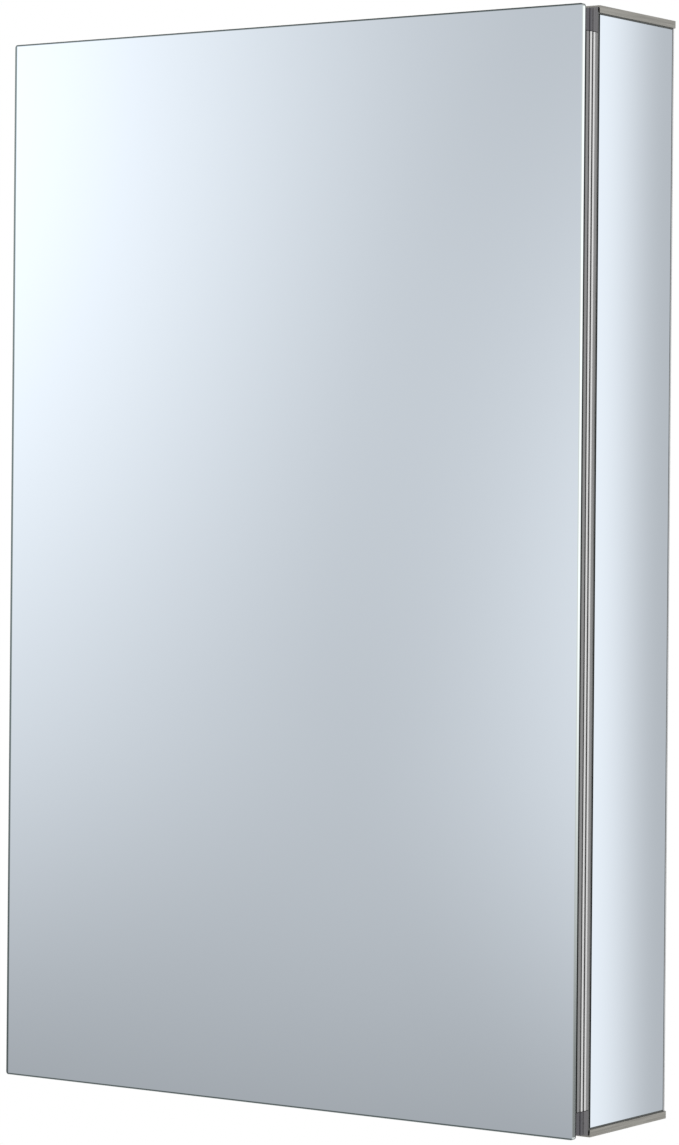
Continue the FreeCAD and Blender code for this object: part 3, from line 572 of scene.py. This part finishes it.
def screws(node, body):
    """Detailed screws in place of the plain ones of a CAD node."""
    vertices, faces = [], []
    for points in solids_of(node):
        screw(vertices, faces, points)
    mesh = bpy.data.meshes.new(node + "_detailed")
    mesh.from_pydata(vertices, [], faces)
    mesh.materials.append(MATERIALS["zinc"])
    piece = bpy.data.objects.new(node + "_detailed", mesh)
    bpy.context.scene.collection.objects.link(piece)
    for polygon in mesh.polygons:
        polygon.use_smooth = True
    mesh.set_sharp_from_angle(angle=SHARP_ANGLE)
    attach(piece, body)
    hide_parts(node)


for name in ("bracket_screws", "hinge_bracket_screws", "catch_screws"):
    screws(name, "cabinet")
screws("cap_screws", "door")


# ---------------------------------------------------------------- studio

def floor():
    """A round, pale floor, so low that views from below the cabinet stay clear of it."""
    mesh = bpy.data.meshes.new("floor")
    angles = [2 * math.pi * i / FLOOR_SIDES for i in range(FLOOR_SIDES)]
    ring = [(FLOOR_RADIUS * math.cos(a), FLOOR_RADIUS * math.sin(a), 0) for a in angles]
    mesh.from_pydata(ring, [], [list(range(FLOOR_SIDES))])
    piece = bpy.data.objects.new("floor", mesh)
    piece.location.z = -FLOOR_DROP
    bpy.context.scene.collection.objects.link(piece)
    material, tree, shader = new_material("floor_paint")
    cloud = tree.even_noise(FLOOR_CLOUDS, 3.0)
    tree.feed(shader.inputs["Base Color"], tree.mix(cloud, *map(grey, FLOOR_GREYS)))
    shader.inputs["Roughness"].default_value = FLOOR_ROUGHNESS
    mesh.materials.append(material)


def soft_card(tree, across, up, centre, half, gain):
    """Light of one large soft card: brightest at its centre and nothing at half its size away."""
    a = tree.math("DIVIDE", tree.math("SUBTRACT", across, centre[0]), half[0])
    b = tree.math("DIVIDE", tree.math("SUBTRACT", up, centre[1]), half[1])
    square = tree.math("ADD", tree.math("MULTIPLY", a, a), tree.math("MULTIPLY", b, b))
    return tree.ramp(tree.math("SQRT", square), 0.0, 1.0, gain, 0.0)


def shiny_room(tree):
    """The room as shiny surfaces see it, by direction.

    In front there are four soft cards over a darker lower part. Behind there is one step from left
    to right, and a narrow patch that the side edge of the door's glass shows. Far to the sides and
    steeply up the room is plain, with a dark zone overhead, and the ground is pale.
    """
    x, y, z = tree.parts("Generated")
    depth = tree.math("MAXIMUM", tree.math("ABSOLUTE", y), LEAST_DEPTH)
    across = tree.math("DIVIDE", x, depth)
    up = tree.math("DIVIDE", z, depth)
    front = tree.ramp(up, *FRONT_UP)
    for centre, half, gain in FRONT_CARDS:
        front = tree.math("ADD", front, soft_card(tree, across, up, centre, half, gain))
    back = tree.math("ADD", tree.ramp(across, *BACK_ACROSS), tree.math("MULTIPLY", up, BACK_RISE))
    patch = tree.math("MULTIPLY", tree.ramp(across, *PATCH_START), tree.ramp(across, *PATCH_END))
    back = tree.blend(patch, back, tree.ramp(up, *PATCH_UP))
    pattern = tree.blend(tree.ramp(y, -LEAST_DEPTH, LEAST_DEPTH), front, back)
    pattern = tree.math("MINIMUM", tree.math("MAXIMUM", pattern, DARKEST), BRIGHTEST)
    sideways = tree.ramp(tree.math("ABSOLUTE", across), *SIDEWAYS)
    pattern = tree.blend(sideways, pattern, tree.ramp(z, *SIDEWAYS_Z))
    steep = tree.math("ABSOLUTE", z)
    overhead = tree.math("MULTIPLY", tree.ramp(steep, *OVERHEAD),
                         tree.ramp(tree.math("ABSOLUTE", y), *OVERHEAD_Y))
    steep_level = tree.ramp(overhead, 0.0, 1.0, STEEP_LEVEL, OVERHEAD_LEVEL)
    pattern = tree.blend(tree.ramp(steep, *STEEP), pattern, steep_level)
    return tree.blend(tree.ramp(z, *GROUND), pattern, GROUND_LEVEL)


def studio():
    """White room: plain for the camera and for matt surfaces, patterned for shiny ones."""
    world = bpy.data.worlds.new("studio")
    bpy.context.scene.world = world
    world.use_nodes = True
    tree = Tree(world.node_tree)
    pattern = shiny_room(tree)
    path = tree.add("LightPath")
    plain = tree.ramp(path.outputs["Is Camera Ray"], 0, 1, FILL, BACKGROUND, smooth=False)
    shiny = tree.math("MAXIMUM", path.outputs["Is Glossy Ray"], path.outputs["Is Transmission Ray"])
    background = world.node_tree.nodes["Background"]
    tree.feed(background.inputs["Strength"], tree.blend(shiny, plain, pattern))
    background.inputs["Color"].default_value = (1, 1, 1, 1)


def soft_light(name, place, size, power):
    light = bpy.data.lights.new(name, "AREA")
    light.shape = "DISK"
    light.size = size
    light.energy = power
    piece = bpy.data.objects.new(name, light)
    piece.location = place
    piece.rotation_mode = "QUATERNION"
    piece.rotation_quaternion = (-Vector(place)).to_track_quat("-Z", "Y")
    piece.visible_camera = False
    piece.visible_glossy = False
    bpy.context.scene.collection.objects.link(piece)


def camera():
    data = bpy.data.cameras.new("camera")
    data.lens = CAMERA_LENS
    data.shift_y = CAMERA_SHIFT_Y
    piece = bpy.data.objects.new("camera", data)
    piece.rotation_mode = "QUATERNION"
    aim = Vector((-math.sin(CAMERA_AZIMUTH), math.cos(CAMERA_AZIMUTH), 0.0))
    turn = aim.to_track_quat("-Z", "Y").to_matrix().to_4x4()
    roll = Matrix.Rotation(CAMERA_ROLL, 4, "Z")
    piece.matrix_world = Matrix.Translation(CAMERA_PLACE) @ turn @ roll
    bpy.context.scene.collection.objects.link(piece)
    bpy.context.scene.camera = piece


floor()
studio()
camera()
for name, place, size, power in LAMPS:
    soft_light(name, place, size, power)
bpy.context.scene.view_settings.view_transform = "Standard"
